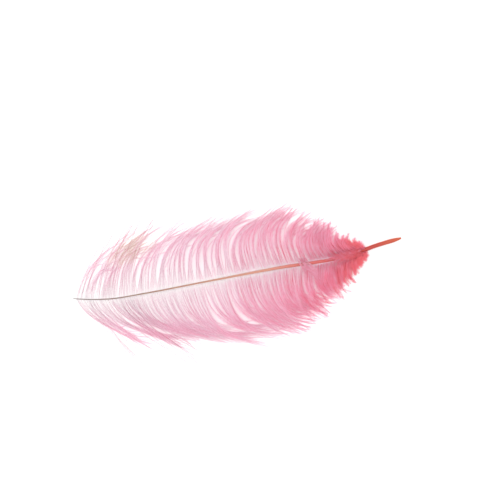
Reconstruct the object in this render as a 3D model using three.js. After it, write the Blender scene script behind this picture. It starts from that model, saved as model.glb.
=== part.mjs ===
// Ostrich plume: one dyed feather lying on a table, back of the shaft upwards.
//
// Millimetres, +Z up, table at z = 0. The quill end is at +X and the feather's tip at -X.
// The origin is on the table, under the middle of the whole feather.
//
// A feather comes apart into its shaft and the two vanes that strip off it, so there are three
// solids. The shaft bows up off the table between its two ends. Each vane is the space that its
// barbs fill: an arched shell that leaves the shaft, rises a little, and comes down to rest on the
// table along its outer edge. The barbs themselves are far too fine to be solids.
import * as THREE from "three";
import { LoftGeometry } from "three/addons/geometries/LoftGeometry.js";

// Shaft: length along the chord from quill end to tip, and its own thickness.
const SHAFT_LENGTH = 403;
const QUILL_WIDTH = 5.2;
const TIP_WIDTH = 0.8;
const WIDTH_FALL = 0.8; // under 1 keeps the shaft stout until well past its middle
const HEIGHT_TO_WIDTH = 0.88;
const QUILL_POINT = 14; // length over which the quill end narrows
const QUILL_POINT_WIDTH = 2.0;
const BOW_RISE = 18; // how far the middle of the shaft stands off the table

// The shaft seen from above: distance from the quill end, then sideways off the chord.
const SHAFT_PLAN = [
  [0, 0],
  [34, -3.6],
  [56, -7.4],
  [80, -9.6],
  [150, -8.2],
  [240, -8.6],
  [320, -9.2],
  [358, -8.3],
  [382, -4.8],
  [SHAFT_LENGTH, 0],
];

// Vanes: where the barbs start and stop on the shaft, and how thick the shell of barbs is.
const BARBS_START = 44;
const BARBS_END = 399;
const ROOT_GAP = 0.3;
const ROOT_THICKNESS = 4.4;
const EDGE_THICKNESS = 2.6;
const TIP_THINNING = 0.45; // thickness of the last section against the thickest
const CREST_RISE = 8; // how far a vane rises above the shaft before it falls
const TABLE_STRIP = 0.84; // fraction of a barb's length past which it lies on the table

// One row per side. Each list runs from the first barbs at the quill to the last at the tip.
// lengths are measured along a barb. A heading is the barb's direction: 0 points along the shaft
// to the tip, 90 straight out, 180 back to the quill.
const RIGHT_VANE = {
  name: "right_vane",
  side: 1,
  lengths: [40, 62, 86, 98, 108, 114, 114, 98, 74],
  rootHeadings: [66, 70, 78, 86, 92, 96, 98, 100, 100],
  endHeadings: [150, 160, 166, 166, 166, 166, 162, 150, 140],
};
const LEFT_VANE = {
  name: "left_vane",
  side: -1,
  lengths: [40, 56, 76, 94, 108, 118, 122, 108, 78],
  rootHeadings: [74, 78, 84, 90, 94, 96, 96, 96, 98],
  endHeadings: [150, 158, 162, 162, 162, 162, 162, 160, 150],
};

// Fineness of the solids.
const SHAFT_SIDES = 10;
const SHAFT_STATIONS = 44;
const VANE_STATIONS = 34;
const STEPS_TO_TABLE = 7;
const STEPS_ON_TABLE = 2;

const COLOURS = {
  shaft: { color: "#d98a70", roughness: 0.45, metalness: 0 },
  right_vane: { color: "#f6a9c0", roughness: 0.85, metalness: 0 },
  left_vane: { color: "#f39ab6", roughness: 0.85, metalness: 0 },
};

const planCurve = new THREE.CatmullRomCurve3(
  SHAFT_PLAN.map(([along, aside]) => new THREE.Vector3(-along, aside, 0)),
  false,
  "centripetal",
);

// Width of the shaft at a fraction of its length from the quill end.
function shaftWidth(fraction) {
  const taper = TIP_WIDTH + (QUILL_WIDTH - TIP_WIDTH) * (1 - fraction) ** WIDTH_FALL;
  const point = THREE.MathUtils.smoothstep(fraction * SHAFT_LENGTH, 0, QUILL_POINT);
  return THREE.MathUtils.lerp(QUILL_POINT_WIDTH, taper, Math.sqrt(point));
}

// Centre of the shaft, its direction to the tip and its right-hand side at a fraction of its length.
function shaftFrame(fraction) {
  const centre = planCurve.getPointAt(fraction);
  centre.z = (shaftWidth(fraction) * HEIGHT_TO_WIDTH) / 2 + BOW_RISE * Math.sin(Math.PI * fraction);
  const toTip = planCurve.getTangentAt(fraction).setZ(0).normalize();
  const toRight = new THREE.Vector3(toTip.y, -toTip.x, 0);
  return { centre, toTip, toRight };
}

// Smooth value at a fraction of the way along a list whose values are evenly spread.
function along(list, fraction) {
  const curve = new THREE.SplineCurve(list.map((value, place) => new THREE.Vector2(place, value)));
  return curve.getPoint(fraction).y;
}

// The shaft is a loft of ovals from the quill end to the tip.
function shaftGeometry() {
  const sections = [];
  for (let i = 0; i <= SHAFT_STATIONS; i++) {
    const fraction = i / SHAFT_STATIONS;
    const { centre, toRight } = shaftFrame(fraction);
    const width = shaftWidth(fraction);
    const section = [];
    for (let j = 0; j < SHAFT_SIDES; j++) {
      const angle = (2 * Math.PI * (j + 0.5)) / SHAFT_SIDES;
      const point = centre.clone().addScaledVector(toRight, (-Math.cos(angle) * width) / 2);
      point.z += (Math.sin(angle) * width * HEIGHT_TO_WIDTH) / 2;
      section.push(point);
    }
    sections.push(section);
  }
  return new LoftGeometry(sections, { capStart: true, capEnd: true });
}

// Fractions along a barb at which a vane's section has points, one of them where the table begins.
function barbSteps() {
  const steps = [];
  for (let k = 0; k < STEPS_TO_TABLE; k++) steps.push((TABLE_STRIP * k) / STEPS_TO_TABLE);
  for (let k = 0; k <= STEPS_ON_TABLE; k++) {
    steps.push(TABLE_STRIP + ((1 - TABLE_STRIP) * k) / STEPS_ON_TABLE);
  }
  return steps;
}

// One section of a vane follows one barb, out along its underside and back along its top.
function vaneSection(vane, fraction) {
  const shaftFraction = THREE.MathUtils.lerp(BARBS_START, BARBS_END, fraction) / SHAFT_LENGTH;
  const { centre, toTip, toRight } = shaftFrame(shaftFraction);
  const length = along(vane.lengths, fraction);
  const rootHeading = along(vane.rootHeadings, fraction);
  const endHeading = along(vane.endHeadings, fraction);
  const thinning = THREE.MathUtils.lerp(1, TIP_THINNING, fraction ** 2);
  const rootOffset = shaftWidth(shaftFraction) / 2 + ROOT_GAP;
  const rootThickness = ROOT_THICKNESS * thinning;
  const rootHeight = Math.max(centre.z - rootThickness / 2, 0);
  const edgeThickness = EDGE_THICKNESS * thinning;
  const crest = CREST_RISE * thinning;

  const place = centre.clone().addScaledVector(toRight, vane.side * rootOffset).setZ(0);
  const under = [];
  const over = [];
  let before = 0;
  for (const step of barbSteps()) {
    const middle = (before + step) / 2;
    const heading = THREE.MathUtils.degToRad(THREE.MathUtils.lerp(rootHeading, endHeading, middle));
    place.addScaledVector(toTip, Math.cos(heading) * length * (step - before));
    place.addScaledVector(toRight, vane.side * Math.sin(heading) * length * (step - before));
    before = step;
    const reach = Math.min(step / TABLE_STRIP, 1);
    const height = rootHeight * (1 - reach ** 2) + crest * Math.sin(Math.PI * reach);
    under.push(place.clone().setZ(reach < 1 ? height : 0));
    over.push(place.clone().setZ(height + THREE.MathUtils.lerp(rootThickness, edgeThickness, step)));
  }
  const outline = [...under, ...over.reverse()];
  return vane.side > 0 ? outline.reverse() : outline;
}

// A vane is a loft of such sections along the shaft.
function vaneGeometry(vane) {
  const sections = [];
  for (let i = 0; i <= VANE_STATIONS; i++) sections.push(vaneSection(vane, i / VANE_STATIONS));
  return new LoftGeometry(sections, { capStart: true, capEnd: true });
}

function namedMesh(name, geometry) {
  const mesh = new THREE.Mesh(geometry, new THREE.MeshStandardMaterial(COLOURS[name]));
  mesh.name = name;
  return mesh;
}

const feather = new THREE.Group();
feather.add(namedMesh("shaft", shaftGeometry()));
for (const vane of [RIGHT_VANE, LEFT_VANE]) feather.add(namedMesh(vane.name, vaneGeometry(vane)));

// The origin goes under the middle of the feather.
const middle = new THREE.Box3().setFromObject(feather).getCenter(new THREE.Vector3());
feather.position.set(-middle.x, -middle.y, 0);

export default feather;
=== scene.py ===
# %% [markdown]
# # A dyed ostrich plume
# This lesson makes one loose ostrich feather, dyed pink, lying on a pale table with the back of
# its shaft upwards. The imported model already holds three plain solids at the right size: the
# shaft, and for each side the thin shell of space that the barbs fill. Here those shells are
# replaced by what fills them on the real bird: hundreds of barbs, each carrying barbules.
#
# Everything is in metres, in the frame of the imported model: the quill end is at +X, the
# feather's tip at -X, and the table is at z = 0.

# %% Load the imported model
import math
import bpy
import numpy as np
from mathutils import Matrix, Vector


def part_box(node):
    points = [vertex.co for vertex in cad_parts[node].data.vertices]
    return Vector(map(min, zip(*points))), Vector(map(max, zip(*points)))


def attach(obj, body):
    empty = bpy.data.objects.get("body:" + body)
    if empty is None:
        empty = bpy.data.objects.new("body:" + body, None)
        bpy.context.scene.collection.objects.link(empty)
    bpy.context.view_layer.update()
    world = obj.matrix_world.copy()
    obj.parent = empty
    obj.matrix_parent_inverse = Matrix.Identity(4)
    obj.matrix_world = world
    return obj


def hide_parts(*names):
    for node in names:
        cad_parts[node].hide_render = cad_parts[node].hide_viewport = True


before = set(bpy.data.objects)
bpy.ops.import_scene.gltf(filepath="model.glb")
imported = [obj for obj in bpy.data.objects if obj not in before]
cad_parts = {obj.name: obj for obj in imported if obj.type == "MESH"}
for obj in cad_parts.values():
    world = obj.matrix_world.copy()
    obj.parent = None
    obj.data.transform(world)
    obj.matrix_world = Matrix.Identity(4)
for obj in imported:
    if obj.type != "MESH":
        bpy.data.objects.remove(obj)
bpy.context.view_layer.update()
scene = bpy.context.scene
MM = 0.001
print("packed nodes:", sorted(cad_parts))

# %% [markdown]
# ## The line of the shaft
# Every barb leaves the shaft somewhere, so the shaft's line comes first. Seen from above it is
# nearly straight, with a bend near the quill and another at the tip: a smooth line through ten
# points. Seen from the side it bows up off the table between its ends: half a sine wave. It lies
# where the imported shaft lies.

# %% Smooth values and the shaft's line
SHAFT_LENGTH = 403 * MM
QUILL_WIDTH = 5.2 * MM
TIP_WIDTH = 0.8 * MM
WIDTH_FALL = 0.8
HEIGHT_TO_WIDTH = 0.88
BOW_RISE = 18 * MM
PLAN_ALONG = np.array([0, 34, 56, 80, 150, 240, 320, 358, 382, 403]) * MM
PLAN_ASIDE = np.array([0, -3.6, -7.4, -9.6, -8.2, -8.6, -9.2, -8.3, -4.8, 0]) * MM
CHORD_TO_EDGE = 1.28 * MM  # from the line between the shaft's two ends to the edge of its box


def smooth_line(x, xs, ys):
    """A smooth line through the points (xs, ys): between two points it is the cubic whose slopes
    at the ends are the mean slopes of the neighbouring stretches."""
    xs, ys = np.asarray(xs, float), np.asarray(ys, float)
    slopes = np.gradient(ys, xs)
    k = np.clip(np.searchsorted(xs, x, side="right") - 1, 0, len(xs) - 2)
    step = xs[k + 1] - xs[k]
    t = (np.clip(x, xs[0], xs[-1]) - xs[k]) / step
    rise = ys[k + 1] - ys[k]
    a = slopes[k] * step - rise
    b = rise - slopes[k + 1] * step
    return (1 - t) * ys[k] + t * ys[k + 1] + t * (1 - t) * (a * (1 - t) + b * t)


def smooth_step(low, high, x):
    """0 below low, 1 above high, and an S-shaped rise between them."""
    t = np.clip((x - low) / (high - low), 0, 1)
    return t * t * (3 - 2 * t)


def unit(vectors):
    """The same directions, with a length of 1."""
    return vectors / np.linalg.norm(vectors, axis=-1, keepdims=True)


def turned(angle, first, second):
    """The direction that lies at an angle from the first towards the second."""
    return np.cos(angle)[..., None] * first + np.sin(angle)[..., None] * second


low, high = (np.array(corner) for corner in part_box("shaft"))
QUILL_X = (low[0] + high[0]) / 2 + SHAFT_LENGTH / 2
QUILL_Y = high[1] - CHORD_TO_EDGE


def shaft_width(s):
    """Width of the shaft at a distance s from the quill end: a fall by a power of what is left."""
    return TIP_WIDTH + (QUILL_WIDTH - TIP_WIDTH) * np.clip(1 - s / SHAFT_LENGTH, 0, 1) ** WIDTH_FALL


def shaft_frame(s):
    """Centre of the shaft, direction to the tip and right-hand side, at distances s. The centre is
    half the shaft's height off the table, plus the bow, which is half a sine wave."""
    s = np.asarray(s, float)
    aside = smooth_line(s, PLAN_ALONG, PLAN_ASIDE)
    ahead, behind = (smooth_line(s + step, PLAN_ALONG, PLAN_ASIDE) for step in (MM, -MM))
    slope = (ahead - behind) / (2 * MM)
    bow = BOW_RISE * np.sin(np.pi * np.clip(s / SHAFT_LENGTH, 0, 1))
    height = shaft_width(s) * HEIGHT_TO_WIDTH / 2 + bow
    centre = np.stack([QUILL_X - s, QUILL_Y + aside, height], -1)
    to_tip = unit(np.stack([-np.ones_like(s), slope, np.zeros_like(s)], -1))
    to_right = np.stack([to_tip[..., 1], -to_tip[..., 0], np.zeros_like(s)], -1)
    return centre, to_tip, to_right


print("quill end at", np.round([QUILL_X, QUILL_Y], 4), "shaft box", np.round([low, high], 4).tolist())

# %% [markdown]
# ## Turning arrays into meshes
# A plume has close to a million faces, so nothing here may loop over vertices in Python. Each
# maker below works out whole arrays of corners, and this one function copies them into a mesh.
# It also writes the piece's UV map. Along a barb the map's first value says how far along the
# shaft the barb grows and the second how far out along the barb a corner is, and the dye follows
# those two.

# %% Mesh from arrays
UV_NAME = "OFBake"


def mesh_object(name, corners, faces, uv):
    """An object from corner places (n, 3), faces of 3 or 4 corner numbers, and a UV per corner."""
    mesh = bpy.data.meshes.new(name)
    sides = faces.shape[1]
    mesh.vertices.add(len(corners))
    mesh.vertices.foreach_set("co", corners.astype(np.float32).ravel())
    mesh.loops.add(faces.size)
    mesh.loops.foreach_set("vertex_index", faces.astype(np.int32).ravel())
    mesh.polygons.add(len(faces))
    mesh.polygons.foreach_set("loop_start", np.arange(0, faces.size, sides, dtype=np.int32))
    layer = mesh.uv_layers.new(name=UV_NAME)
    layer.data.foreach_set("uv", uv[faces.ravel()].astype(np.float32).ravel())
    mesh.update(calc_edges=True)
    mesh.shade_smooth()
    piece = bpy.data.objects.new(name, mesh)
    scene.collection.objects.link(piece)
    return piece


print("meshes get the UV map", UV_NAME)

# %% [markdown]
# ## How barbs grow and lie
# Most barbs leave the shaft at nearly a right angle and then droop back towards the quill, because
# an ostrich's barbs have no hooks to hold them together. So a barb is a walk: its heading starts
# at one angle, turns smoothly to another, and the steps are added up. The values below give the
# two sides of the plume. They differ, because the barbs of one side fell further over.

# %% Values of the two vanes
BARBS_START = 44 * MM
BARBS_END = 399 * MM

# Each list runs evenly from the first barbs at the quill to the last at the tip. Lengths are along
# a barb. A heading is 0 along the shaft to the tip, 90 straight out and 180 back to the quill.
# A turn starts and ends at these fractions of a barb; below 0, it is under way at the root. Locks
# and tresses are bundles of barbs, and a pull of 1 would draw a bundle into one line. Spacings are
# the gaps between one barb's root and the next.
VANES = {
    "right_vane": dict(
        side=1,
        lengths=np.array([16, 50, 78, 91, 99, 104, 104, 101, 86]) * MM,
        root_headings=[34, 60, 73, 80, 87, 94, 98, 99, 100],
        end_headings=[80, 136, 156, 165, 168, 168, 164, 154, 146],
        turn_starts=[0.1, 0.15, 0.2, 0.2, 0.2, 0.15, 0.1, 0.05, 0.0],
        turn_ends=[0.95, 0.95, 0.9, 0.9, 0.9, 0.9, 0.95, 1.0, 1.0],
        lock_widths=np.array([4, 4.5, 5, 6, 7.5, 8, 7, 4.5, 3.5]) * MM,
        tress_widths=np.array([14, 14, 16, 16, 18, 20, 16, 14, 10]) * MM,
        lock_pull=[0.15, 0.3, 0.54, 0.62, 0.64, 0.66, 0.64, 0.58, 0.5],
        tress_pull=[0.1, 0.1, 0.15, 0.2, 0.2, 0.25, 0.2, 0.1, 0.0],
        spacings=np.array([0.55, 0.75, 0.95, 1.0, 1.1, 1.15, 1.2, 1.35, 1.6]) * MM,
    ),
    "left_vane": dict(
        side=-1,
        lengths=np.array([16, 48, 77, 97, 109, 116, 121, 121, 106]) * MM,
        root_headings=[40, 66, 80, 88, 92, 93, 93, 98, 104],
        end_headings=[84, 128, 146, 154, 157, 158, 159, 157, 156],
        turn_starts=[0.1, 0.1, 0.1, 0.08, 0.05, 0.02, -0.04, -0.2, -0.3],
        turn_ends=[0.95, 0.95, 0.95, 0.9, 0.88, 0.76, 0.6, 0.42, 0.38],
        lock_widths=np.array([4, 4, 4, 4.5, 4.5, 4.5, 4.2, 3.8, 3.4]) * MM,
        tress_widths=np.array([14, 16, 18, 20, 22, 24, 24, 24, 16]) * MM,
        lock_pull=[0.15, 0.3, 0.42, 0.48, 0.52, 0.55, 0.58, 0.62, 0.62],
        tress_pull=[0.1, 0.1, 0.15, 0.2, 0.35, 0.5, 0.68, 0.78, 0.7],
        spacings=np.array([0.55, 0.75, 0.95, 1.0, 1.0, 1.0, 1.05, 1.15, 1.4]) * MM,
    ),
}


def spread_list(values, fraction):
    """Smooth value at fractions of the way along a list whose values are evenly spread."""
    return smooth_line(fraction, np.linspace(0, 1, len(values)), values)


def vane_fraction(s):
    """Where a barb grows: 0 at the first barb by the quill, 1 at the last at the tip."""
    return (s - BARBS_START) / (BARBS_END - BARBS_START)


print("barbs grow on", round((BARBS_END - BARBS_START) / MM), "mm of the shaft")

# %% One barb as a walk
BARB_STEPS = 24
OUTWARD = np.linspace(0, 1, BARB_STEPS + 1) ** 1.3  # fractions along a barb, closest at its root
MIDWAY = (OUTWARD[1:] + OUTWARD[:-1]) / 2
ROOT_ON_SHAFT = 0.42  # of the shaft's width, off its middle
ROOT_UP_SHAFT = 0.25  # of the shaft's height, above its middle


def walk(s, root_side, walk_side, heading, length):
    """Barbs seen from above: from the shaft's side each step goes along its heading (radians), and
    the steps are added up. Returns places (barbs, steps + 1, 3) at the height of the roots."""
    centre, to_tip, to_right = shaft_frame(s)
    step = (length[:, None] * np.diff(OUTWARD))[..., None]
    direction = turned(heading, to_tip[:, None], walk_side * to_right[:, None])
    places = np.zeros((len(s), BARB_STEPS + 1, 3))
    places[:, 1:] = np.cumsum(direction * step, axis=1)
    root = centre + to_right * (root_side * ROOT_ON_SHAFT * shaft_width(s))[:, None]
    root[:, 2] += ROOT_UP_SHAFT * HEIGHT_TO_WIDTH * shaft_width(s)
    return places + root[:, None]


print("steps of a 100 mm barb:", np.round(100 * np.diff(OUTWARD)[[0, -1]], 1), "mm, first and last")

# %% The barbs of a vane before they cling together
ROOT_THICKNESS = 4.4 * MM
EDGE_THICKNESS = 2.6 * MM
TIP_THINNING = 0.45
CREST_RISE = 8 * MM
TABLE_STRIP = 0.84  # fraction along a long barb at which it has come down on the table
LIMP_LENGTH = 70 * MM  # barbs shorter than this arch and sag less
EVEN_TURN = 0.25  # share of a barb's turn that is spread evenly along it
LIFTED_BY = 0.35  # of a barb's length, over which it moves to its own layer of the vane


def barb_lines(vane, s, turn_by, length_by, lift):
    """Walks whose heading goes from the root heading to the end heading along an S-shaped curve,
    and further by turn_by degrees times the square of the fraction along the barb. Height is
    root height * (1 - limp * reach^2) + limp * crest * sin(pi * reach), where reach is 1 at the
    table, plus a part of the vane's thickness that lift gives."""
    fraction = vane_fraction(s)
    turn_start = spread_list(vane["turn_starts"], fraction)[:, None]
    turn_end = spread_list(vane["turn_ends"], fraction)[:, None]
    turn = EVEN_TURN * MIDWAY + (1 - EVEN_TURN) * smooth_step(turn_start, turn_end, MIDWAY)
    start = spread_list(vane["root_headings"], fraction)[:, None]
    end = spread_list(vane["end_headings"], fraction)[:, None]
    heading = np.radians(start + (end - start) * turn + turn_by[:, None] * MIDWAY**2)
    length = spread_list(vane["lengths"], fraction) * length_by
    places = walk(s, vane["side"], vane["side"], heading, length)

    thinning = 1 + (TIP_THINNING - 1) * fraction**2
    thickness = (ROOT_THICKNESS * thinning)[:, None]
    reach = np.clip(OUTWARD / TABLE_STRIP, 0, 1)
    root_height = np.maximum(places[:, :1, 2] - thickness / 2, 0)
    limp = smooth_step(0, LIMP_LENGTH, length)[:, None]
    crest = limp * (CREST_RISE * thinning)[:, None] * np.sin(np.pi * reach)
    depth = thickness + ((EDGE_THICKNESS * thinning)[:, None] - thickness) * OUTWARD
    layer = 0.5 + lift[:, None] * smooth_step(0, LIFTED_BY, OUTWARD)
    places[..., 2] = root_height * (1 - limp * reach**2) + crest + depth * layer
    return places


middle_s = np.array([(BARBS_START + BARBS_END) / 2])
for vane_name, vane in VANES.items():
    middle_barb = barb_lines(vane, middle_s, np.zeros(1), np.ones(1), np.zeros(1))[0]
    reach_out = abs(middle_barb[-1, 1] - middle_barb[0, 1])
    print("middle barb of the", vane_name, "reaches out", round(reach_out / MM), "mm")

# %% [markdown]
# ## Locks and tresses
# Barbs cling together, and that is what makes a plume read as a plume: pale gaps open between
# locks a few millimetres wide, and further out several locks fall together into a tress. So the
# barbs are bundled twice. The middle barb of each lock draws its barbs in close to the shaft, and
# the middle barb of each tress draws its locks in further out. Both partly let go again towards
# the tips, where the plume frays.

# %% Values of the bundles
BUNDLE_RANGE = (0.35, 1.8)  # widths against those in the vane's list
ROOT_RANGE = (0.5, 1.5)  # spacings of roots against those in the vane's list
# Fractions along a barb between which a bundle draws together, those between which it lets go
# again, and the share of the draw that is lost there.
LOCK_DRAW = ((0.02, 0.26), (0.5, 1), 0.6)
TRESS_DRAW = ((0.2, 0.7), (0.75, 1), 0.4)
HEIGHT_DRAW = 0.5  # how far a lock draws its barbs up or down, against sideways
STRAY_DRAW = 0.3  # how far a lock draws its strays, against its other barbs

# Turns are spreads in degrees and lengths are spreads in shares of a length. The last of several
# numbers is added at the feather's tip, and the middle one of three in the downy part.
TRESS_TURN = 5
TRESS_LENGTH = 0.04
LOCK_TURNS = (4, 9)
LOCK_LENGTHS = (0.06, 0.06)
BARB_TURNS = (9, 20, 9)
BARB_SHORTENING = (0.18, 0.26, 0.14)
LONGEST_BARB = 1.06  # against the lock's length
SHORTEST_BARB = 0.3  # against the length in the vane's list
LOCK_LIFTS = (-0.6, 1.2)  # of the vane's thickness, from its middle
BARB_LIFT = 0.5
STRAY_SHARE = 0.22
STRAY_TURN = (14, 24)  # degrees that strays turn off, by the quill and by the tip
STRAY_LIMITS = (-0.7, 1.6)  # of those degrees, towards the tip and towards the quill
TURN_LIMIT = 1.8  # of a spread, past which no barb's turn goes
DOWNY_PART = 0.35  # of the vane, from the quill: barbs here are limp and uneven
LOOSE_PART = 0.7  # of the vane, past which the barbs of the tip grow thin and uneven again
print(round(100 * STRAY_SHARE), "barbs in a hundred stray from their lock")


# %% Roots and bundles along the shaft
def steps_along(sizes, size_range, rng):
    """Places along the vane, from its first barb to its last. Each step between them is the size
    that a list says there, times a random number."""
    places = [BARBS_START]
    while places[-1] < BARBS_END:
        size = spread_list(sizes, vane_fraction(places[-1]))
        places.append(places[-1] + size * rng.uniform(*size_range))
    return np.minimum(places, BARBS_END)


def bundles(widths, rng):
    """Edges of the bundles along the shaft, and their middles."""
    edges = steps_along(widths, BUNDLE_RANGE, rng)
    return edges, (edges[1:] + edges[:-1]) / 2


def bundle_of(edges, s):
    """Number of the bundle that each barb at s belongs to."""
    return np.clip(np.searchsorted(edges, s) - 1, 0, len(edges) - 2)


sample, _ = bundles(VANES["right_vane"]["lock_widths"], np.random.default_rng(0))
print("a vane has about", len(sample) - 1, "locks")


# %% Bundling the barbs
def draw(pull, closes, opens, lost):
    """Share of the way to its guide by which each place of a barb moves: it rises along the barb
    in an S to the pull, and falls again in an S towards its tip."""
    share = pull[:, None] * smooth_step(*closes, OUTWARD)
    return (share * (1 - lost * smooth_step(*opens, OUTWARD)))[..., None]


def grow_barbs(vane, rng):
    """Barbs of one vane, drawn together into locks and tresses by their guides, which are the
    middle barbs of both."""
    tress_edges, tress_s = bundles(vane["tress_widths"], rng)
    tress_turn = rng.normal(0, TRESS_TURN, len(tress_s))
    tress_length = 1 + rng.normal(0, TRESS_LENGTH, len(tress_s))
    tresses = barb_lines(vane, tress_s, tress_turn, tress_length, np.zeros(len(tress_s)))

    lock_edges, lock_s = bundles(vane["lock_widths"], rng)
    tress = bundle_of(tress_edges, lock_s)
    loose = smooth_step(LOOSE_PART, 1, vane_fraction(lock_s))
    turn_spread = LOCK_TURNS[0] + LOCK_TURNS[1] * loose
    length_spread = LOCK_LENGTHS[0] + LOCK_LENGTHS[1] * loose
    lock_turn = tress_turn[tress] + rng.normal(0, 1, len(lock_s)) * turn_spread
    lock_length = tress_length[tress] * (1 + rng.normal(0, 1, len(lock_s)) * length_spread)
    lock_lift = rng.uniform(*LOCK_LIFTS, len(lock_s))
    locks = barb_lines(vane, lock_s, lock_turn, lock_length, lock_lift)
    tress_pull = spread_list(vane["tress_pull"], vane_fraction(lock_s))
    drawn = (tresses[tress] - locks) * draw(tress_pull, *TRESS_DRAW)
    drawn[..., 2] = 0
    locks = locks + drawn

    s = steps_along(vane["spacings"], ROOT_RANGE, rng)
    count, fraction = len(s), vane_fraction(s)
    lock = bundle_of(lock_edges, s)
    stray = rng.random(count) < STRAY_SHARE
    stray_turn = STRAY_TURN[0] + (STRAY_TURN[1] - STRAY_TURN[0]) * fraction
    downy = smooth_step(DOWNY_PART, 0, fraction)
    loose = smooth_step(LOOSE_PART, 1, fraction)
    turn_spread = BARB_TURNS[0] + BARB_TURNS[1] * downy + BARB_TURNS[2] * loose
    shortening = BARB_SHORTENING[0] + BARB_SHORTENING[1] * downy + BARB_SHORTENING[2] * loose
    uneven = np.clip(rng.normal(0, 1, count), -TURN_LIMIT, TURN_LIMIT)
    turn = lock_turn[lock] + uneven * turn_spread
    turn = turn + stray * np.clip(rng.normal(0, 1, count), *STRAY_LIMITS) * stray_turn
    shorter = np.abs(rng.normal(0, 1, count)) * shortening
    length = np.maximum(lock_length[lock] * (LONGEST_BARB - shorter), SHORTEST_BARB)
    lift = lock_lift[lock] + rng.normal(0, BARB_LIFT, count)
    places = barb_lines(vane, s, turn, length, lift) + drawn[lock]
    lock_pull = spread_list(vane["lock_pull"], fraction) * np.where(stray, STRAY_DRAW, 1)
    offset = locks[lock] - places
    offset[..., 2] *= HEIGHT_DRAW
    places += offset * draw(lock_pull, *LOCK_DRAW)
    return s, ripple(s, places, rng)


# %% Ripples
RIPPLE = 0.9 * MM
RIPPLE_WAVES = (1.3, 3.1)  # waves along a barb: a slow one, and a quick one of half the height
LEAST_HEIGHT = 0.5 * MM


def ripple(s, places, rng):
    """Sways each barb along the shaft by two sine waves of its own, growing from root to tip, and
    keeps it off the table."""
    start = rng.uniform(0, 2 * np.pi, (len(s), 2, 1))
    slow, quick = (2 * np.pi * waves * OUTWARD for waves in RIPPLE_WAVES)
    sway = np.sin(slow + start[:, 0]) + 0.5 * np.sin(quick + start[:, 1])
    _, to_tip, _ = shaft_frame(s)
    places = places + (RIPPLE * sway * OUTWARD)[..., None] * to_tip[:, None]
    places[..., 2] = np.maximum(places[..., 2], LEAST_HEIGHT)
    return places


print("barbs sway by up to", round(1.5 * RIPPLE / MM, 2), "mm at their tips")

# %% [markdown]
# ## Down over the foot of the shaft
# Near the quill the barbs are short and downy. Many of them lie nearly along the shaft and on top
# of it, so that it disappears under them for its last few centimetres. A little further on one
# loose lock has fallen across it too. These barbs are walks like the others, but they cross from
# one side of the shaft to the other.

# %% Barbs that cross the shaft
# How far off the shaft barbs start to show, how many there are, their headings at the root and the
# end with the spreads of both, and the least and greatest of their lengths and their roots.
SHAFT_DOWN = dict(
    off=1.6 * MM, count=60, headings=(8, 16), spreads=(8, 16), lengths=(6 * MM, 30 * MM)
)
FALLEN_LOCK = dict(
    off=5.5 * MM, count=22, headings=(110, 140), spreads=(5, 10), lengths=(20 * MM, 40 * MM),
    roots=(118 * MM, 130 * MM),
)
CROSSINGS = {
    "right_vane": [dict(SHAFT_DOWN, roots=(45 * MM, 68 * MM)), FALLEN_LOCK],
    "left_vane": [dict(SHAFT_DOWN, roots=(45 * MM, 66 * MM))],
}
CLEAR_OF_SHAFT = 0.8 * MM
CROSSING_RISE = 3 * MM
CROSSING_RISE_RANGE = (0.4, 1.3)
CLEAR_BY = 0.12  # of a barb's length, over which it climbs onto the shaft


def grow_crossings(vane_name, rng):
    """Barbs that cross the shaft. Their height is that of the shaft's middle beneath them, plus
    half its thickness and a gap at once, and a few millimetres more over their length."""
    side = VANES[vane_name]["side"]
    all_s, all_places = [], []
    for row in CROSSINGS[vane_name]:
        begin, finish = row["roots"]
        s = begin + (finish - begin) * rng.random(row["count"])
        first, last = (
            heading + rng.normal(0, spread, len(s))
            for heading, spread in zip(row["headings"], row["spreads"])
        )
        heading = np.radians(first[:, None] + (last - first)[:, None] * MIDWAY)
        length = rng.uniform(*row["lengths"], len(s))
        _, _, to_right = shaft_frame(s)
        places = walk(s, side, -side, heading, length)
        places += (to_right * side * row["off"])[:, None]
        beneath, _, _ = shaft_frame(QUILL_X - places[..., 0])
        clear = shaft_width(s)[:, None] * HEIGHT_TO_WIDTH / 2 + CLEAR_OF_SHAFT
        rise = CROSSING_RISE * OUTWARD * rng.uniform(*CROSSING_RISE_RANGE, (len(s), 1))
        places[..., 2] = beneath[..., 2] + clear * smooth_step(0, CLEAR_BY, OUTWARD) + rise
        all_s.append(s)
        all_places.append(ripple(s, places, rng))
    return np.concatenate(all_s), np.concatenate(all_places)


for vane_name, rows in CROSSINGS.items():
    print(sum(row["count"] for row in rows), "barbs of the", vane_name, "cross the shaft")

# %% [markdown]
# ## Hairs beyond the edge
# At the feather's tip a few barbs have lost most of their barbules and cling to no lock. They
# droop less than the others, so they stand out past the edge of the vane as separate thin hairs.

# %% Separate hairs
HAIR_COUNTS = {"right_vane": 10, "left_vane": 14}
HAIR_ROOTS = (325 * MM, 394 * MM)
HAIR_STANDOFF = {"right_vane": 26, "left_vane": 19}  # degrees that they droop less at the end
HAIR_TURNS = (-10, 12)  # degrees, from one hair to another
HAIR_LENGTHS = (0.72, 1.0)  # against the other barbs
HAIR_LIFTS = (-0.5, 1.0)  # of the vane's thickness, from its middle


def grow_hairs(vane_name, rng):
    """Walks like those of the other barbs, with lower end headings, and drawn into no lock."""
    count = HAIR_COUNTS[vane_name]
    vane = dict(VANES[vane_name])
    vane["end_headings"] = np.array(vane["end_headings"]) - HAIR_STANDOFF[vane_name]
    s = rng.uniform(*HAIR_ROOTS, count)
    ranges = (HAIR_TURNS, HAIR_LENGTHS, HAIR_LIFTS)
    turn, length, lift = (rng.uniform(*ends, count) for ends in ranges)
    return s, ripple(s, barb_lines(vane, s, turn, length, lift), rng)


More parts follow.
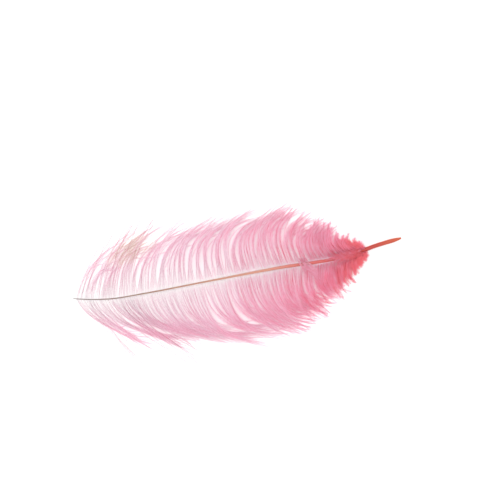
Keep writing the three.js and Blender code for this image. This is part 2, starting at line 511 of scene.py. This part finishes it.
print("separate hairs:", HAIR_COUNTS)

# %% [markdown]
# ## The barb's own stem, and its barbules
# A barb is a hair-thin stem with a fringe of barbules on both sides, swept towards the barb's
# tip. The stem is a closed three-sided tube. A barbule is drawn as a bent lance of two triangles:
# pointed at both ends, widest at its middle, where it bends. Real barbules are finer than a
# fiftieth of a millimetre; these are wider and fewer, so that they cover as much.

# %% Stems
STEM_WIDTHS = (0.46 * MM, 0.14 * MM)  # at a barb's root and at its tip
HAIR_WIDTHS = (0.4 * MM, 0.6 * MM)  # its barbules cling to it and make it wider
STEM_ROOT_FLARE = 0.5 * MM
FLARE_REACH = 0.02  # of a barb's length, over which the flare at its root dies away
STEM_THINNING = 0.4  # how much thinner the stems at the feather's tip are
UV_START = 0.03  # the UV map keeps a margin on all sides
UV_ALONG_SHAFT = 0.94
UV_ALONG_BARB = 0.9
UV_HALF_STEM = 0.0012


def side_directions(along):
    """The level direction aside of each direction in an array, and the one that is square to
    both: two cross products."""
    aside = unit(np.cross(along, [0, 0, 1.0]))
    return aside, np.cross(aside, along)


def barb_stems(s, places, widths, root_flare):
    """Three-sided tubes along the barbs: each ring is an upright triangle whose size falls evenly
    to the tip, and flares at the root. Returns corners, faces and UVs."""
    barbs, rings = places.shape[:2]
    along = unit(np.gradient(places, axis=1))
    aside, above = side_directions(along)
    fraction = vane_fraction(s)
    flare = root_flare * np.exp(-OUTWARD / FLARE_REACH)
    thinner = 1 - STEM_THINNING * fraction[:, None] ** 2
    radius = (widths[0] + (widths[1] - widths[0]) * OUTWARD + flare) * thinner / 2
    radius = radius[..., None]
    turns = np.radians([90, 210, 330])
    ring = [places + radius * turned(angle, aside, above) for angle in turns]
    corners = np.stack(ring, axis=2).reshape(-1, 3)
    root = np.arange(barbs)[:, None] * rings * 3
    first = root[..., None] + np.arange(rings - 1)[None, :, None] * 3
    j = np.arange(3)[None, None]
    k = (j + 1) % 3
    a, b, c, d = first + j, first + k, first + 3 + k, first + 3 + j
    walls = np.concatenate([np.stack([a, b, c], -1), np.stack([a, c, d], -1)], axis=2)
    caps = np.concatenate([root + [2, 1, 0], root + (rings - 1) * 3 + [0, 1, 2]])
    across = np.array([-1, 0, 1]) * UV_HALF_STEM
    uv = np.zeros((barbs, rings, 3, 2))
    uv[..., 0] = UV_START + UV_ALONG_SHAFT * fraction[:, None, None] + across
    uv[..., 1] = UV_START + UV_ALONG_BARB * OUTWARD[None, :, None]
    return corners, np.concatenate([walls.reshape(-1, 3), caps]), uv.reshape(-1, 2)


print("a stem has", 6 * BARB_STEPS + 2, "faces")

# %% Values of the barbules
BARBULES_PER_BARB = {"tip": 540, "middle": 600, "quill": 460, "crossing": 240, "hair": 60}
CROSSING_BARBULES = 0.6  # length of their barbules against the others'
HAIR_BARBULES = 0.3  # and of a hair's
BARBULE_WIDTH = 0.115 * MM
BARBULE_ROOTS = (0.001, 0.985)  # first and last, as fractions of a barb before the crowding
BARBULE_LENGTHS = np.array([2.2, 3.5, 4.4, 5.0, 5.2, 5.0, 4.2, 3.0, 1.5]) * MM  # along a barb
BARBULE_BY_STATION = [0.75, 0.85, 1.0, 1.05, 1.0, 0.9, 0.8, 0.7, 0.6]  # quill to tip of the shaft
BARBULE_SWEEP = (42, 15)  # degrees off the barb, at its root and at its tip
DOWNY_SWEEP = 15  # degrees that barbules stand off further in the downy part by the quill
DOWNY_TIPS = 0.6  # how much longer the barbules at a downy barb's tip are
LENGTH_RANGE = (0.55, 1.2)  # from one barbule to another, against the lengths above
WIDTH_RANGE = (0.7, 1.2)  # and against the width
NARROWS_FROM = 0.6  # fraction along a barb past which its barbules get narrower
TIP_NARROWING = 0.5
SWEEP_SPREAD = 9  # degrees
TILT, TILT_SPREAD = 8, 26  # degrees that barbules stand up out of the vane
ROLL_SPREAD = 40  # degrees that they turn about their own length
BEND = 0.35  # of the sweep is left past a barbule's middle
SAG = 0.12  # fall of its outer half, against its length
BARBULE_LEAST_HEIGHT = 0.15 * MM
BARBULE_CROWDING = 0.7  # under 1 leaves fewer barbules near a barb's root
UV_SPREAD = 0.001  # of barbules about their barb, on the UV map
UV_HALF_BARBULE = 0.0015
UV_BARBULE_LENGTH = 0.024
UV_LIMITS = (0.001, 0.999)
PALE_FOOT = 0.12  # of a barb's length, which downy barbs and barbs across the shaft don't show
FOOT_SHOWS = (0.03, 0.17)  # places on the UV map, from the quill, between which it comes in
print("barbules are", BARBULE_LENGTHS.min() / MM, "to", BARBULE_LENGTHS.max() / MM, "mm long")


# %% Barbules
def barbules(s, places, count, scale, rng):
    """Barbules along barbs: each starts on the stem, leaves it at the sweep angle in a plane
    turned at random about the stem, and bends at its middle towards the barb's tip. Returns
    corners, faces and UVs."""
    barbs, rings = places.shape[:2]
    v = rng.uniform(*BARBULE_ROOTS, (barbs, count)) ** BARBULE_CROWDING
    k = np.clip(np.searchsorted(OUTWARD, v, side="right") - 1, 0, rings - 2)
    t = ((v - OUTWARD[k]) / (OUTWARD[k + 1] - OUTWARD[k]))[..., None]
    row = np.arange(barbs)[:, None]
    here, there = places[row, k], places[row, k + 1]
    start = here + (there - here) * t
    along = unit(there - here)
    aside, above = side_directions(along)

    fraction = vane_fraction(s)
    length = spread_list(BARBULE_LENGTHS, v) * spread_list(BARBULE_BY_STATION, fraction)[:, None]
    downy = smooth_step(DOWNY_PART, 0, fraction)[:, None]
    length = length * scale * rng.uniform(*LENGTH_RANGE, v.shape) * (1 + DOWNY_TIPS * downy * v)
    sweep = BARBULE_SWEEP[0] + (BARBULE_SWEEP[1] - BARBULE_SWEEP[0]) * v + DOWNY_SWEEP * downy
    sweep = np.radians(sweep + rng.normal(0, SWEEP_SPREAD, v.shape))
    side = rng.choice([-1.0, 1.0], v.shape)
    tilt = np.radians(rng.normal(TILT, TILT_SPREAD, v.shape))
    out = turned(tilt, side[..., None] * aside, above)
    away = turned(sweep, along, out)
    bent = turned(sweep * BEND, along, out) - np.array([0, 0, SAG])
    middle = start + away * (length * 0.5)[..., None]
    end = middle + bent * (length * 0.5)[..., None]
    roll = np.radians(rng.normal(0, ROLL_SPREAD, v.shape))
    wide = turned(roll, unit(np.cross(away, above)), above)
    narrowing = 1 - TIP_NARROWING * smooth_step(NARROWS_FROM, 1, v)
    half_width = BARBULE_WIDTH / 2 * narrowing * rng.uniform(*WIDTH_RANGE, v.shape)
    half = wide * half_width[..., None]
    corners = np.stack([start, middle + half, middle - half, end], axis=2)
    corners[..., 2] = np.maximum(corners[..., 2], BARBULE_LEAST_HEIGHT)
    first = np.arange(barbs * count)[:, None] * 4
    faces = np.concatenate([first + [0, 2, 1], first + [3, 1, 2]])
    uv = np.zeros((barbs, count, 4, 2))
    from_barb = rng.normal(0, UV_SPREAD, v.shape)
    uv[..., 0] = (UV_START + UV_ALONG_SHAFT * fraction[:, None] + from_barb)[..., None]
    uv[..., 0] += np.array([0, 1, -1, 0]) * UV_HALF_BARBULE
    uv[..., 1] = (UV_START + UV_ALONG_BARB * v)[..., None]
    uv[..., 1] += np.array([0, 0.5, 0.5, 1]) * UV_BARBULE_LENGTH
    return corners.reshape(-1, 3), faces, np.clip(uv, *UV_LIMITS).reshape(-1, 2)


print("barbules on a barb:", BARBULES_PER_BARB)


# %% Parts of a mesh
def dyed_to_root(part, share):
    """The same part with its UVs moved outwards, past a share of the pale, dense foot of a barb."""
    corners, faces, uv = part
    foot = PALE_FOOT * share
    return corners, faces, np.stack([uv[:, 0], foot + uv[:, 1] * (1 - foot)], -1)


def join_parts(parts):
    """Several (corners, faces, uv) as one."""
    starts = np.cumsum([0] + [len(corners) for corners, _, _ in parts[:-1]])
    corners = np.concatenate([corners for corners, _, _ in parts])
    faces = np.concatenate([faces + start for start, (_, faces, _) in zip(starts, parts)])
    return corners, faces, np.concatenate([uv for _, _, uv in parts])


print("downy barbs are dyed over the first", round(100 * PALE_FOOT), "% of their length too")

# %% [markdown]
# ## Dyed keratin
# Barbs are keratin, the stuff of hair, and this plume was bleached and dyed pink. One number, the
# depth of the dye, says how much a place took up: little where the barbs leave the shaft, more
# outwards, and most in the thick down by the quill. It changes from strand to strand. Light goes
# through a barb as much as it bounces off it, so the material mixes a plain rough surface with a
# translucent one. Light that passes several barbs is tinted by each, so each barb by itself is
# much paler than the plume looks.
#
# Some places stay undyed. The feet of the barbs are dense and white, and no light passes them, so
# each side of the shaft has a bright edge. At the feather's tip the natural grey of the barbs
# shows through on their inner part, and a patch near the right vane's edge stayed tan.

# %% Colours and nodes
def linear(code):
    """An sRGB hex colour as linear red, green and blue, and an alpha of 1."""
    values = [int(code[i : i + 2], 16) / 255 for i in (1, 3, 5)]
    return (*(v / 12.92 if v <= 0.04045 else ((v + 0.055) / 1.055) ** 2.4 for v in values), 1.0)


def add_node(tree, kind, inputs=(), links=(), **settings):
    """A node of that kind with settings, {socket: value} inputs and {socket: output} links."""
    node = tree.nodes.new(kind)
    for key, value in settings.items():
        setattr(node, key, value)
    for key, value in dict(inputs).items():
        node.inputs[key].default_value = value
    for key, output in dict(links).items():
        tree.links.new(output, node.inputs[key])
    return node


def ramp(tree, value, stops):
    """Colour for a value, by stops as {value: hex colour or grey value}."""
    node = add_node(tree, "ShaderNodeValToRGB", links={0: value})
    elements = node.color_ramp.elements
    while len(elements) < len(stops):
        elements.new(0.5)
    for element, (place, colour) in zip(elements, sorted(stops.items())):
        element.position = place
        element.color = linear(colour) if isinstance(colour, str) else (colour, colour, colour, 1)
    return node.outputs[0]


def calculate(tree, operation, first, second, clamp=False):
    """Sum or product of two values, and kept between 0 and 1 if clamp says so."""
    links = {0: first, 1: second}
    return add_node(tree, "ShaderNodeMath", (), links, operation=operation, use_clamp=clamp).outputs[0]


def move_range(tree, value, *ends):
    """A value that lay between the first two ends, moved to lie between the last two."""
    return add_node(tree, "ShaderNodeMapRange", dict(enumerate(ends, 1)), {0: value}).outputs[0]


def mix_in(tree, share, colour, other):
    """A colour, with a share of another that is given as hex mixed in."""
    links = {0: share, 6: colour}
    return add_node(tree, "ShaderNodeMix", {7: linear(other)}, links, data_type="RGBA").outputs[2]


def sized_noise(tree, uv, spans, sizes, detail):
    """Noise whose spots have these two sizes in mm, on a UV map that is these two spans across."""
    scale = (*(span / size for span, size in zip(spans, sizes)), 1)
    stretch = add_node(tree, "ShaderNodeMapping", {"Scale": scale}, {0: uv})
    inputs = {"Scale": 1.0, "Detail": detail}
    return add_node(tree, "ShaderNodeTexNoise", inputs, {0: stretch.outputs[0]}).outputs[0]


def uv_values(tree):
    """The UV map as one output, and its first and its second value."""
    place = add_node(tree, "ShaderNodeUVMap", uv_map=UV_NAME).outputs["UV"]
    split = add_node(tree, "ShaderNodeSeparateXYZ", links={0: place})
    return place, split.outputs["X"], split.outputs["Y"]


def new_material(name):
    """An empty material, and its node tree."""
    material = bpy.data.materials.new(name)
    material.use_nodes = True
    material.node_tree.nodes.clear()
    return material, material.node_tree


print("mid grey is", round(linear("#808080")[0], 3), "in linear light")

# %% Values of the dye
# Colours by the depth of the dye, of the barbules and of the stems.
DYE = {
    0.0: "#fefcfc", 0.25: "#fdeff7", 0.5: "#fedfed", 0.75: "#fec3da", 0.9: "#fdabc4", 1.0: "#fb949f",
}
STEM_DYE = {
    0.0: "#fcf8f9", 0.25: "#f3dfe8", 0.5: "#eeb2c9", 0.75: "#f087a3", 0.9: "#e85a7e", 1.0: "#cf3444",
}
SEE_THROUGH = {0.05: 0.0, 0.1: 0.5}  # share of light that passes, along a barb: none at its root
# Depth of the dye at places along a barb, from its root to its tip, to which the depth by the
# place along the shaft is added.
DYE_BY_BARB = {
    "right_vane": {0.05: 0.0, 0.075: 0.2, 0.14: 0.3, 0.4: 0.32, 0.7: 0.3, 0.95: 0.26},
    "left_vane": {0.05: 0.0, 0.075: 0.22, 0.14: 0.34, 0.35: 0.42, 0.6: 0.46, 0.95: 0.42},
}
STEM_DYE_BY_BARB = {
    "right_vane": {0.05: 0.0, 0.075: 0.27, 0.2: 0.4, 0.4: 0.48, 0.7: 0.62, 0.95: 0.56},
    "left_vane": {0.05: 0.0, 0.075: 0.27, 0.2: 0.38, 0.35: 0.42, 0.6: 0.52, 0.95: 0.48},
}
DYE_BY_STATION = {0.0: 0.74, 0.08: 0.55, 0.16: 0.36, 0.34: 0.2, 0.5: 0.07, 0.65: 0.0, 0.85: 0.04}
# Undyed barb at the feather's tip: its colour, and its shares along the shaft and along a barb,
# which are multiplied.
NATURAL = "#dbccd2"
NATURAL_BY_STATION = {0.5: 0.0, 0.7: 0.25, 0.9: 0.5}
NATURAL_BY_BARB = {0.15: 1.0, 0.45: 0.1}
# Streaks: their width and their length in mm, and how far their value swings to both sides.
STRAND_STREAKS = (1.5, 45.0, 0.2)
LOCK_STREAKS = (9.0, 60.0, 0.1)
TAN_STREAKS = (4.0, 60.0, 1.0)
NOISE_RANGE = (0.25, 0.75)  # nearly all of a noise lies between these
UV_SPAN = (378.0, 122.0)  # mm of feather across the whole UV map, along the shaft and along a barb
TAN = "#e7d0c6"
TAN_PLACE = (-0.1195, 0.0595, 0.012)  # middle of the undyed patch
TAN_REACH = (0.042, 0.018, 0.03)  # half its size along the vane's edge, across it and upwards
TAN_TURN = math.radians(20.5)
TAN_CONTRAST = (-0.3, 0.3, -0.6, 2.6)  # streaks between the first two become the last two
print("the dye is", DYE_BY_STATION[0.0], "deep at the quill and", DYE_BY_STATION[0.65], "at 0.65")


# %% Streaks and the tan patch
def streak_noise(tree, uv, width, length, swing):
    """Streaks along the barbs, of a width and a length in mm, between -swing and swing."""
    noise = sized_noise(tree, uv, UV_SPAN, (width, length), 1.0)
    return move_range(tree, noise, *NOISE_RANGE, -swing, swing)


def tan_patch(tree, colour, uv):
    """A patch that the dye didn't reach: a soft ball stretched along the vane's edge, broken up by
    streaks as wide as a lock."""
    place = add_node(tree, "ShaderNodeTexCoord")
    inputs = {"Location": TAN_PLACE, "Rotation": (0, 0, TAN_TURN), "Scale": TAN_REACH}
    links = {0: place.outputs["Object"]}
    ball_space = add_node(tree, "ShaderNodeMapping", inputs, links, vector_type="TEXTURE")
    links = {0: ball_space.outputs[0]}
    ball = add_node(tree, "ShaderNodeTexGradient", links=links, gradient_type="SPHERICAL")
    uneven = move_range(tree, streak_noise(tree, uv, *TAN_STREAKS), *TAN_CONTRAST)
    share = calculate(tree, "MULTIPLY", ball.outputs["Fac"], uneven, clamp=True)
    return mix_in(tree, share, colour, TAN)


print("the tan patch is", round(2 * TAN_REACH[0] / MM), "by", round(2 * TAN_REACH[1] / MM), "mm")


# %% The down's material
def dyed_down(name, colours, dye_by_barb, has_tan):
    """Dyed ostrich down: keratin fibres of a fraction of a millimetre. The dye's depth is the sum
    of a part by the place along the barb, a part by the place along the shaft and two streak
    noises. Seen together the fibres are matt, with a soft sheen."""
    material, tree = new_material(name)
    uv, station, outward = uv_values(tree)
    depth = ramp(tree, outward, dye_by_barb)
    by_station = ramp(tree, station, DYE_BY_STATION)
    strands = streak_noise(tree, uv, *STRAND_STREAKS)
    locks = streak_noise(tree, uv, *LOCK_STREAKS)
    for part in (by_station, strands, locks):
        depth = calculate(tree, "ADD", depth, part)
    bare = ramp(tree, station, NATURAL_BY_STATION)
    bare = calculate(tree, "MULTIPLY", bare, ramp(tree, outward, NATURAL_BY_BARB))
    colour = mix_in(tree, bare, ramp(tree, depth, colours), NATURAL)
    if has_tan:
        colour = tan_patch(tree, colour, uv)
    inputs = {"Roughness": 0.6, "IOR": 1.55, "Sheen Weight": 0.15, "Sheen Roughness": 0.5}
    surface = add_node(tree, "ShaderNodeBsdfPrincipled", inputs, {"Base Color": colour})
    through = add_node(tree, "ShaderNodeBsdfTranslucent", links={"Color": colour})
    share = ramp(tree, outward, SEE_THROUGH)
    links = {0: share, 1: surface.outputs[0], 2: through.outputs[0]}
    both = add_node(tree, "ShaderNodeMixShader", links=links)
    add_node(tree, "ShaderNodeOutputMaterial", links={0: both.outputs[0]})
    return material


print("past its foot a barb lets", SEE_THROUGH[0.1], "of the light through")

# %% [markdown]
# ## Barbules and stems
# A barbule is a film of keratin, so it takes up little dye and glows with the light behind it. A
# barb's stem is the same stuff, but thick enough to hold more dye. Two materials from one recipe
# give the eye fine deep lines in a pale haze, which is how a plume shows its strands.

# %% A vane's two materials
def vane_materials(vane_name):
    """The material of a vane's barbules, and that of its barbs' stems."""
    has_tan = vane_name == "right_vane"
    return (
        dyed_down(f"dyed_barbules_{vane_name}", DYE, DYE_BY_BARB[vane_name], has_tan),
        dyed_down(f"dyed_barb_stems_{vane_name}", STEM_DYE, STEM_DYE_BY_BARB[vane_name], has_tan),
    )


print("each of the", len(VANES), "vanes gets two materials")

# %% [markdown]
# ## Growing the plume
# Each vane is cut into three pieces along the shaft, only so that no mesh grows too large: the
# tip, the middle and the quill end. They are one row of barbs all the same, grown in one go.

# %% One stretch of a vane
FIRST_SEED = 1200
FIRST_HAIR_SEED = 1300
STRETCHES = {"tip": (0.63, 1.01), "middle": (0.29, 0.63), "quill": (-0.01, 0.29)}


def vane_piece(name, stems, fringe, materials):
    """One mesh of stems and barbules, with the material of each."""
    piece = mesh_object(name, *join_parts([stems, fringe]))
    for material in materials:
        piece.data.materials.append(material)
    kinds = np.repeat([1, 0], [len(stems[1]), len(fringe[1])])
    piece.data.polygons.foreach_set("material_index", kinds)
    return piece


def foot_share(part):
    """How much of the pale foot a part's corners lose: all of it by the quill, and none past the
    downy stretch."""
    return 1 - smooth_step(*FOOT_SHOWS, part[2][:, 0])


print("stretches from tip to quill:", STRETCHES)

# %% Vanes
total = 0
for number, (vane_name, vane) in enumerate(VANES.items()):
    rng = np.random.default_rng(FIRST_SEED + number)
    materials = vane_materials(vane_name)
    roots, lines = grow_barbs(vane, rng)
    crossing_barbs = grow_crossings(vane_name, rng)
    fractions = vane_fraction(roots)
    for stretch_name, (begin, finish) in STRETCHES.items():
        chosen = (fractions >= begin) & (fractions < finish)
        barbs = (roots[chosen], lines[chosen])
        stems = barb_stems(*barbs, STEM_WIDTHS, STEM_ROOT_FLARE)
        fringe = barbules(*barbs, BARBULES_PER_BARB[stretch_name], 1.0, rng)
        if stretch_name == "tip":
            own_rng = np.random.default_rng(FIRST_HAIR_SEED + number)
            hairs = grow_hairs(vane_name, own_rng)
            more = barbules(*hairs, BARBULES_PER_BARB["hair"], HAIR_BARBULES, own_rng)
            stems = join_parts([stems, barb_stems(*hairs, HAIR_WIDTHS, 0)])
            fringe = join_parts([fringe, more])
        if stretch_name == "quill":
            count = BARBULES_PER_BARB["crossing"]
            more = barbules(*crossing_barbs, count, CROSSING_BARBULES, rng)
            more_stems = barb_stems(*crossing_barbs, STEM_WIDTHS, 0)
            stems = dyed_to_root(stems, foot_share(stems))
            fringe = dyed_to_root(fringe, foot_share(fringe))
            stems = join_parts([stems, dyed_to_root(more_stems, 1)])
            fringe = join_parts([fringe, dyed_to_root(more, 1)])
        piece = vane_piece(f"{vane_name}_{stretch_name}_barbs", stems, fringe, materials)
        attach(piece, "root")
        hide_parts(vane_name)
        total += len(piece.data.polygons)
        print(piece.name, chosen.sum(), "barbs,", len(piece.data.polygons), "faces")
print("fibre faces in all:", total)

# %% [markdown]
# ## The shaft
# The shaft is one tapering piece of keratin: a round, bare quill that turns into the squarer
# rachis, with a groove along its underside and pale ledges where the barbs grow. It is a profile
# carried along the shaft's line. The dye takes on it unevenly: red by the quill, salmon in the
# middle and grey-tan at the tip.

# %% The shaft's surface
SHAFT_SIDES = 32
SHAFT_RINGS = 320
QUILL_POINT = 14 * MM
QUILL_POINT_WIDTH = 2.0 * MM
PORE_WIDTH = 0.9 * MM
PORE_AT = np.array([3, 3, 0.3, 0]) * MM  # from the pore's floor out to its lip
PORE_WIDTHS = np.array([0.02, 0.8, 1.0, 1.5]) * PORE_WIDTH
TIP_WIDTHS = np.array([0.6, 0.04]) * TIP_WIDTH  # the tip closes in two steps
RACHIS_BEGINS = (45 * MM, 110 * MM)  # the quill turns squarer between these
SQUARENESS = 0.8  # added to the profile's power
GROOVE_DEPTH = 0.16  # of the shaft's height
GROOVE_WIDTH = 0.3  # of the shaft's half width
GROOVE_BELOW = -0.1  # sine of the angle under which the groove shows
SHAFT_UV_MARGIN = 0.02


def shaft_surface():
    """A profile carried along the shaft's line. The profile is a superellipse, |x|^n + |z|^n = 1,
    whose power n goes from 2 at the quill to 2.8 on the rachis, with a bell-shaped groove pressed
    into its underside. At the quill end the rings turn in to a small blind pore."""
    s = np.linspace(0, SHAFT_LENGTH, SHAFT_RINGS)
    width = shaft_width(s)
    point = np.sqrt(smooth_step(0, QUILL_POINT, s))
    width = QUILL_POINT_WIDTH + (width - QUILL_POINT_WIDTH) * point
    s = np.concatenate([PORE_AT, s, [SHAFT_LENGTH, SHAFT_LENGTH]])
    width = np.concatenate([PORE_WIDTHS, width, TIP_WIDTHS])
    centre, _, to_right = shaft_frame(s)
    angle = np.linspace(0, 2 * np.pi, SHAFT_SIDES + 1)
    rachis = smooth_step(*RACHIS_BEGINS, s)[:, None]
    power = 2 / (2 + SQUARENESS * rachis)
    across = np.sign(np.cos(angle)) * np.abs(np.cos(angle)) ** power
    up = np.sign(np.sin(angle)) * np.abs(np.sin(angle)) ** power
    bell = np.exp(-((across / GROOVE_WIDTH) ** 2)) * (np.sin(angle) < GROOVE_BELOW)
    up = up + 2 * rachis * GROOVE_DEPTH * bell
    corners = centre[:, None] + to_right[:, None] * (across * width[:, None] / 2)[..., None]
    corners[..., 2] += up * width[:, None] * HEIGHT_TO_WIDTH / 2
    uv = np.stack(np.broadcast_arrays((s / SHAFT_LENGTH)[:, None], angle / (2 * np.pi)), -1)
    return corners, SHAFT_UV_MARGIN + (1 - 2 * SHAFT_UV_MARGIN) * uv


def grid_faces(rows, columns):
    """Quads of a grid whose last column is a copy of its first."""
    i, j = np.meshgrid(np.arange(rows - 1), np.arange(columns - 1), indexing="ij")
    a = i * columns + j
    return np.stack([a, a + columns, a + columns + 1, a + 1], -1).reshape(-1, 4)


corners, uv = shaft_surface()
rows, columns = corners.shape[:2]
shaft = mesh_object("shaft_quill", corners.reshape(-1, 3), grid_faces(rows, columns), uv.reshape(-1, 2))
print("shaft:", len(shaft.data.polygons), "faces")

# %% The shaft's material
# Colours along the back of the shaft, from the quill end to the tip.
BACK_COLOURS = {
    0.0: "#c8603c", 0.1: "#b53c30", 0.2: "#c04a4c", 0.31: "#c2605a",
    0.42: "#bf806c", 0.6: "#ac7a66", 0.78: "#8d6c5c", 1.0: "#6c6464",
}
# The ledges and the underside are undyed: going round the shaft, 1 is pale and 0 is the dyed
# back. The second row says how pale they are along it.
LEDGES = {0.0: 1.0, 0.14: 1.0, 0.165: 0.0, 0.355: 0.0, 0.38: 1.0, 1.0: 1.0}
LEDGES_BY_STATION = {0.34: 0.0, 0.56: 0.95, 0.82: 0.95, 0.97: 0.2}
LEDGE_COLOUR = "#fff8f2"
SHAFT_UV_SPAN = (420.0, 14.4)  # mm across the whole UV map, along the shaft and round it
KERATIN_LINES = (30.0, 0.48)  # mm long and wide
LINE_SHADES = (0.3, 0.7, 0.82, 1.08)  # noise between the first two becomes a shade in the last two
LINE_RELIEF = 0.2 * MM
LIGHT_GOES_IN = 1.2 * MM


def shaft_keratin():
    """Dyed quill keratin, grown as a horny tube: satin to the eye, a little see-through at its
    surface, with fine lines along it that change its shade and its relief."""
    material, tree = new_material("dyed_quill_keratin")
    uv, station, around = uv_values(tree)
    pale = calculate(tree, "MULTIPLY", ramp(tree, around, LEDGES), ramp(tree, station, LEDGES_BY_STATION))
    sides = mix_in(tree, pale, ramp(tree, station, BACK_COLOURS), LEDGE_COLOUR)
    lines = sized_noise(tree, uv, SHAFT_UV_SPAN, KERATIN_LINES, 3.0)
    shade = move_range(tree, lines, *LINE_SHADES)
    links = {6: sides, 7: shade}
    colour = add_node(tree, "ShaderNodeMix", {0: 1.0}, links, data_type="RGBA", blend_type="MULTIPLY")
    inputs = {"Strength": 0.25, "Distance": LINE_RELIEF}
    bump = add_node(tree, "ShaderNodeBump", inputs, {"Height": lines})
    inputs = {"Roughness": 0.5, "IOR": 1.5, "Subsurface Weight": 0.1, "Subsurface Scale": LIGHT_GOES_IN}
    links = {"Base Color": colour.outputs[2], "Normal": bump.outputs[0]}
    surface = add_node(tree, "ShaderNodeBsdfPrincipled", inputs, links)
    add_node(tree, "ShaderNodeOutputMaterial", links={0: surface.outputs[0]})
    return material


shaft.data.materials.append(shaft_keratin())
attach(shaft, "root")
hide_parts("shaft")
print("shaft's material:", shaft.data.materials[0].name)

# %% [markdown]
# ## Table, light and camera
# The feather lies on a plain pale table under an even sky of soft white light, with one large
# lamp to give the barbs some form. The camera looks straight down on it. Two marks say where the
# quill end and the tip fall in a picture of 500 by 500 pixels, and the camera's place, turn and
# distance follow from them.

# %% Table
TABLE_REACH = 3.0
TABLE_PAINT = "#fbfaf9"

right, far = np.array([-1, 1, 1, -1]) * TABLE_REACH, np.array([-1, -1, 1, 1]) * TABLE_REACH
table_corners = np.stack([right, far, np.zeros(4)], -1)
table = mesh_object("table", table_corners, np.arange(4)[None], np.zeros((4, 2)))

# Matt white furniture paint, rolled on: rough enough to show no gloss, so only shadows show.
paint, tree = new_material("white_table_paint")
inputs = {"Base Color": linear(TABLE_PAINT), "Roughness": 0.9}
matt = add_node(tree, "ShaderNodeBsdfPrincipled", inputs)
add_node(tree, "ShaderNodeOutputMaterial", links={0: matt.outputs[0]})
table.data.materials.append(paint)
print("table:", 2 * TABLE_REACH, "m wide")

# %% Light
SKY_STRENGTH = 0.92
LAMP_POWER = 19  # W
LAMP_SIZE = 0.6
LAMP_PLACE = (-0.1, 0.2, 1.95)
LAMP_TURN = (-6, -3, 0)  # degrees

scene.view_settings.view_transform = "Standard"
world = bpy.data.worlds.new("studio")
scene.world = world
world.use_nodes = True
sky = world.node_tree.nodes["Background"]
sky.inputs["Color"].default_value = (1, 1, 1, 1)
sky.inputs["Strength"].default_value = SKY_STRENGTH
lamp = bpy.data.lights.new("soft_lamp", "AREA")
lamp.shape = "DISK"
lamp.size = LAMP_SIZE
lamp.energy = LAMP_POWER
lamp_object = bpy.data.objects.new("soft_lamp", lamp)
lamp_object.location = LAMP_PLACE
lamp_object.rotation_euler = [math.radians(turn) for turn in LAMP_TURN]
scene.collection.objects.link(lamp_object)
print("lamp", LAMP_PLACE[2], "m up, sky", SKY_STRENGTH)

# %% Camera
PICTURE = 500
QUILL_PIXEL = np.array([402.0, 238.0])
TIP_PIXEL = np.array([72.0, 299.0])
LENS = 100.0
SENSOR = 36.0
FEATHER_HEIGHT = 12 * MM  # the marks' own distance from the table, about half the plume's

span = TIP_PIXEL - QUILL_PIXEL
pixels_per_metre = np.linalg.norm(span) / SHAFT_LENGTH
toward_tip = span / np.linalg.norm(span)
to_the_right = np.array([-toward_tip[1], toward_tip[0]])
from_quill = (np.array([PICTURE, PICTURE]) / 2 - QUILL_PIXEL) / pixels_per_metre
distance = PICTURE / pixels_per_metre * LENS / SENSOR
camera_data = bpy.data.cameras.new("camera")
camera_data.lens = LENS
camera_data.sensor_width = SENSOR
camera = bpy.data.objects.new("camera", camera_data)
camera.location = (
    QUILL_X - from_quill @ toward_tip,
    QUILL_Y + from_quill @ to_the_right,
    distance + FEATHER_HEIGHT,
)
camera.rotation_euler = (0, 0, math.atan2(-toward_tip[1], -toward_tip[0]))
scene.collection.objects.link(camera)
scene.camera = camera
print("camera at", np.round(camera.location, 3), "turn", round(math.degrees(camera.rotation_euler[2]), 2))
